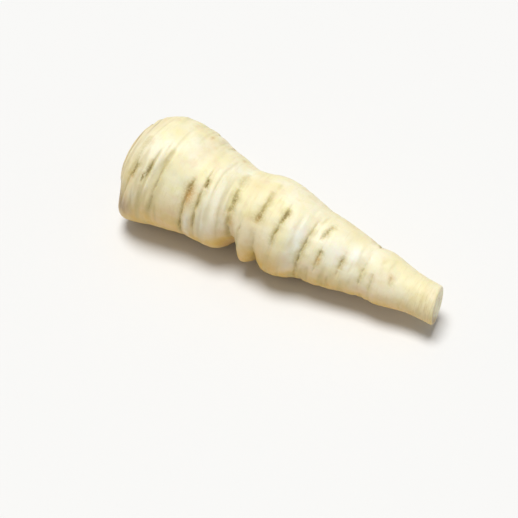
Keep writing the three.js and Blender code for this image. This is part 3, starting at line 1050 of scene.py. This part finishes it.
def cut_colour(g):
    """The colour of the cut face."""
    streaks = g.noise(g.attribute("spokes", "Vector"), *STREAKS)
    share = g.math("ADD", g.attribute("cut_share"), g.between(streaks, *FACE_WAVER))
    face = g.mix(g.between(share, *CORE_EDGE), linear(CORE_PALE), linear(FLESH_PALE))
    ring = g.times(g.between(share, *RING_INNER), g.between(share, *RING_OUTER, 1, 0))
    face = g.mix(g.times(ring, RING_STRENGTH), face, linear(RING_TAN))
    face = g.mix(g.between(streaks, *STREAK_REACH, 0, STREAK_STRENGTH), face, linear(STREAK_TAN))
    dried = g.times(g.between(share, *DRIED_FROM), g.between(g.attribute("cut_low"), 0, 1, *DRIED_STRENGTH))
    return g.mix(dried, face, linear(DRIED_BROWN))


def make_material():
    """The one material of the root: moist, slightly glossy flesh under a thin skin."""
    material = bpy.data.materials.new("parsnip_skin")
    g = Graph(material)
    grown = g.attribute("grown", "Vector")
    noises = skin_noises(g, grown)
    colour = crease_colour(g, noises, flesh_colour(g, noises))
    colour = crown_colour(g, grown, colour)
    colour = g.mix(g.attribute("cut"), colour, cut_colour(g))
    normal = None
    for noise, strength, distance in BUMPS:
        normal = g.bump(noises[noise], strength, distance, normal)
    shader = g.fill(
        g.add("ShaderNodeBsdfPrincipled"), Base_Color=colour, Normal=normal,
        Roughness=g.between(noises["bands"], *ROUGHNESS_REACH, *ROUGHNESS), Specular_IOR_Level=SPECULAR,
        Subsurface_Weight=SUBSURFACE, Subsurface_Radius=SUBSURFACE_RADIUS, Subsurface_Scale=SUBSURFACE_SCALE,
    )
    g.fill(g.add("ShaderNodeOutputMaterial"), Surface=shader.outputs["BSDF"])
    return material


# ---- Stage, light and camera ---------------------------------------------------------------------


def add_camera(middle):
    """The camera, at the azimuth and elevation from which the root is seen."""
    a, e = math.radians(CAMERA_AZIMUTH), math.radians(CAMERA_ELEVATION)
    back = Vector((math.sin(a) * math.cos(e), -math.cos(a) * math.cos(e), math.sin(e)))
    right = Vector((math.cos(a), math.sin(a), 0))
    up = back.cross(right)
    camera = bpy.data.objects.new("camera", bpy.data.cameras.new("camera"))
    camera.data.lens = CAMERA_LENS
    camera.data.sensor_width = SENSOR_WIDTH
    camera.data.clip_start = CAMERA_NEAR
    bpy.context.scene.collection.objects.link(camera)
    turned = Matrix((right, up, back)).transposed().to_4x4()
    at = middle + back * CAMERA_DISTANCE - right * AIM[0] - up * AIM[1]
    camera.matrix_world = Matrix.Translation(at) @ turned
    bpy.context.scene.camera = camera


def add_floor():
    """A wide, plain, pale floor."""
    mesh = bpy.data.meshes.new("floor")
    half = FLOOR_HALF
    corners = [(-half, -half, 0), (half, -half, 0), (half, half, 0), (-half, half, 0)]
    mesh.from_pydata(corners, [], [(0, 1, 2, 3)])
    floor = bpy.data.objects.new("floor", mesh)
    bpy.context.scene.collection.objects.link(floor)
    material = bpy.data.materials.new("floor_pale")
    g = Graph(material)
    shader = g.fill(
        g.add("ShaderNodeBsdfPrincipled"), Base_Color=(FLOOR_GREY, FLOOR_GREY, FLOOR_GREY, 1),
        Roughness=FLOOR_ROUGHNESS, Specular_IOR_Level=FLOOR_SPECULAR,
    )
    g.fill(g.add("ShaderNodeOutputMaterial"), Surface=shader.outputs["BSDF"])
    mesh.materials.append(material)


def add_light():
    """Even white light from all round and a sun lamp as wide as a large soft box, nearly overhead."""
    world = bpy.data.worlds.new("studio")
    world.use_nodes = True
    background = world.node_tree.nodes["Background"]
    background.inputs["Color"].default_value = (1, 1, 1, 1)
    background.inputs["Strength"].default_value = SKY_STRENGTH
    bpy.context.scene.world = world
    light = bpy.data.lights.new("soft_key", "SUN")
    light.energy = KEY_STRENGTH
    light.angle = math.radians(KEY_SOFTNESS)
    light.color = KEY_COLOUR
    lamp = bpy.data.objects.new("soft_key", light)
    lamp.rotation_euler = Vector(KEY_TOWARD).to_track_quat("Z", "Y").to_euler()
    bpy.context.scene.collection.objects.link(lamp)


def main():
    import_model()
    cad_low, cad_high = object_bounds()
    skin = make_skin()
    skin.data.materials.append(make_material())
    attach(skin, "root")
    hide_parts("parsnip")
    add_floor()
    add_light()
    add_camera((cad_low + cad_high) / 2)
    bpy.context.scene.view_settings.view_transform = "Standard"


main()
